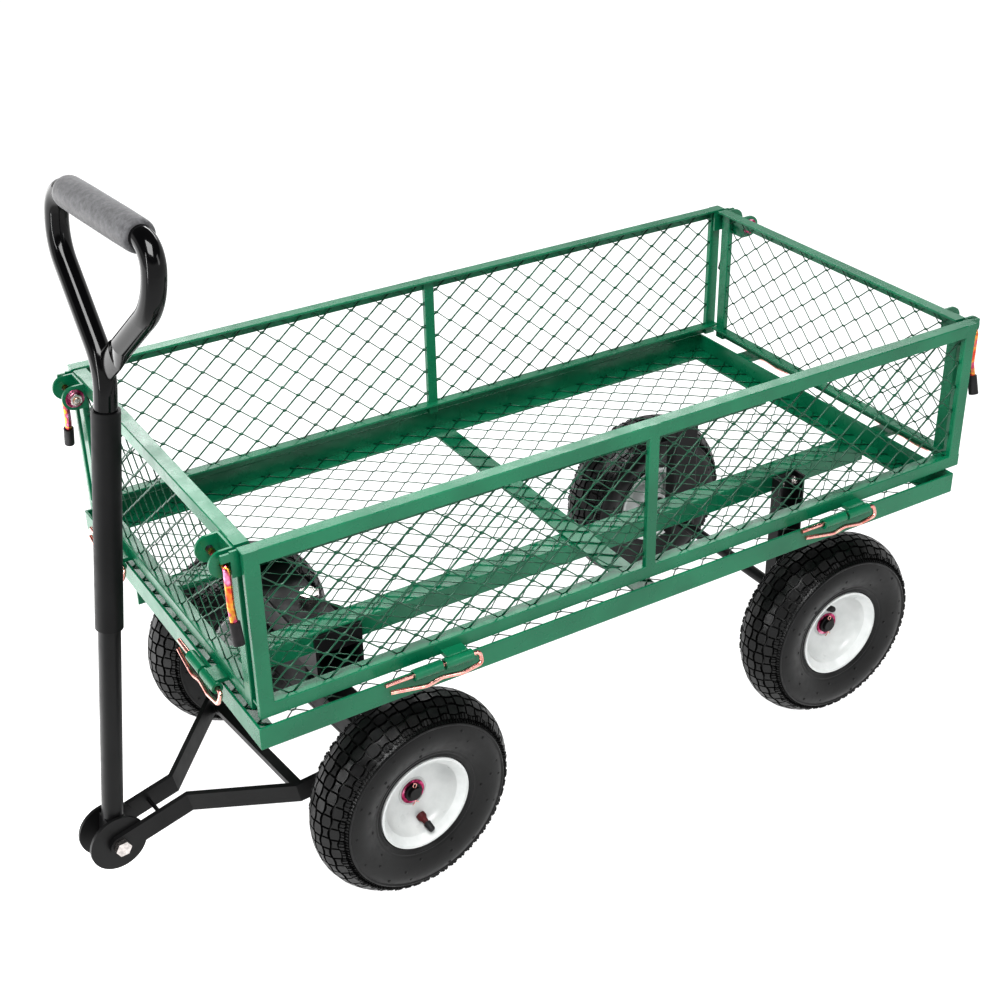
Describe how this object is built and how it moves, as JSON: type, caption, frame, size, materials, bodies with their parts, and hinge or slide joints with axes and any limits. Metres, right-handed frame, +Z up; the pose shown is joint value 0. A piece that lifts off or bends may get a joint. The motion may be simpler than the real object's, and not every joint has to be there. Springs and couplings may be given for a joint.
{
  "type": "folding garden cart",
  "caption": "Garden cart with a mesh floor, mesh panels that fold down on hinges, air tyres, a steered front axle and a tow handle with a closed loop grip.",
  "frame": {"origin": "on the ground under the middle of the whole cart, handle and drawbar included", "axes": "+X towards the tow handle, +Y to the cart's left, +Z up"},
  "size_m": [1.1563, 0.5562, 0.8336],
  "materials": {
    "green_paint": "semi-gloss dark green enamel",
    "black_paint": "satin black enamel",
    "rim_paint": "off-white enamel on pressed steel",
    "zinc_steel": "bright zinc plate",
    "yellow_zinc": "yellow passivated zinc plate",
    "tyre_rubber": "black rubber",
    "soft_rubber": "black moulded rubber",
    "foam_grip": "dark grey foam rubber"
  },
  "bodies": {
    "chassis": {"tray_frame": "green_paint", "floor_mesh": "green_paint", "left_floor_beam": "green_paint", "right_floor_beam": "green_paint", "cross_member": "green_paint", "rear_left_leg": "black_paint", "rear_right_leg": "black_paint", "rear_axle_rod": "black_paint", "front_bolster": "black_paint", "king_bolt": "zinc_steel", "front_panel_frame": "green_paint", "front_panel_mesh": "green_paint", "front_panel_hinges": "green_paint", "front_latch_brackets": "green_paint", "front_latch_pins": "yellow_zinc", "front_latch_tips": "soft_rubber", "tray_hinges": "green_paint", "hinge_wire_pins": "yellow_zinc"},
    "front_axle": {"turntable_plate": "black_paint", "steering_post": "black_paint", "front_axle_beam": "black_paint", "front_left_leg": "black_paint", "front_right_leg": "black_paint", "front_axle_rod": "black_paint", "drawbar_left_bar": "black_paint", "drawbar_right_bar": "black_paint", "drawbar_cross_bar": "black_paint", "drawbar_tie_rod": "black_paint", "clevis_discs": "black_paint", "clevis_bolt": "zinc_steel"},
    "handle": {"handle_lower_tube": "black_paint", "handle_sleeve": "black_paint", "handle_loop": "black_paint", "handle_grip": "foam_grip"},
    "left_panel": {"left_panel_frame": "green_paint", "left_panel_mesh": "green_paint", "left_panel_hinges": "green_paint"},
    "right_panel": {"right_panel_frame": "green_paint", "right_panel_mesh": "green_paint", "right_panel_hinges": "green_paint"},
    "rear_panel": {"rear_panel_frame": "green_paint", "rear_panel_mesh": "green_paint", "rear_panel_hinges": "green_paint", "rear_latch_brackets": "green_paint", "rear_latch_pins": "yellow_zinc", "rear_latch_tips": "soft_rubber"},
    "front_left_wheel": {"front_left_tyre": "tyre_rubber", "front_left_rim": "rim_paint"},
    "front_right_wheel": {"front_right_tyre": "tyre_rubber", "front_right_rim": "rim_paint"},
    "rear_left_wheel": {"rear_left_tyre": "tyre_rubber", "rear_left_rim": "rim_paint"},
    "rear_right_wheel": {"rear_right_tyre": "tyre_rubber", "rear_right_rim": "rim_paint"}
  },
  "joints": [
    {"name": "front_left_wheel_spin", "type": "hinge", "parent": "front_axle", "child": "front_left_wheel", "pos_m": [0.23809, 0.20273, 0.129], "axis": [-0.0872, 0.9962, 0], "continuous": true},
    {"name": "front_right_wheel_spin", "type": "hinge", "parent": "front_axle", "child": "front_right_wheel", "pos_m": [0.27356, -0.20273, 0.129], "axis": [-0.0872, 0.9962, 0], "continuous": true},
    {"name": "rear_left_wheel_spin", "type": "hinge", "parent": "chassis", "child": "rear_left_wheel", "pos_m": [-0.39217, 0.2035, 0.129], "axis": [0, 1, 0], "continuous": true},
    {"name": "rear_right_wheel_spin", "type": "hinge", "parent": "chassis", "child": "rear_right_wheel", "pos_m": [-0.39217, -0.2035, 0.129], "axis": [0, 1, 0], "continuous": true},
    {"name": "steering", "type": "hinge", "parent": "chassis", "child": "front_axle", "pos_m": [0.25583, 0, 0.245], "axis": [0, 0, 1], "range_deg": [-35, 25]},
    {"name": "handle_tilt", "type": "hinge", "parent": "front_axle", "child": "handle", "pos_m": [0.54174, 0.02501, 0.072], "axis": [-0.0872, 0.9962, 0], "range_deg": [0, 101]},
    {"name": "left_panel_fold", "type": "hinge", "parent": "chassis", "child": "left_panel", "pos_m": [-0.06017, 0.27, 0.3415], "axis": [-1, 0, 0], "range_deg": [0, 180]},
    {"name": "right_panel_fold", "type": "hinge", "parent": "chassis", "child": "right_panel", "pos_m": [-0.06017, -0.27, 0.3415], "axis": [1, 0, 0], "range_deg": [0, 180]},
    {"name": "rear_panel_fold", "type": "hinge", "parent": "chassis", "child": "rear_panel", "pos_m": [-0.56517, 0, 0.3415], "axis": [0, -1, 0], "range_deg": [0, 180]}
  ]
}
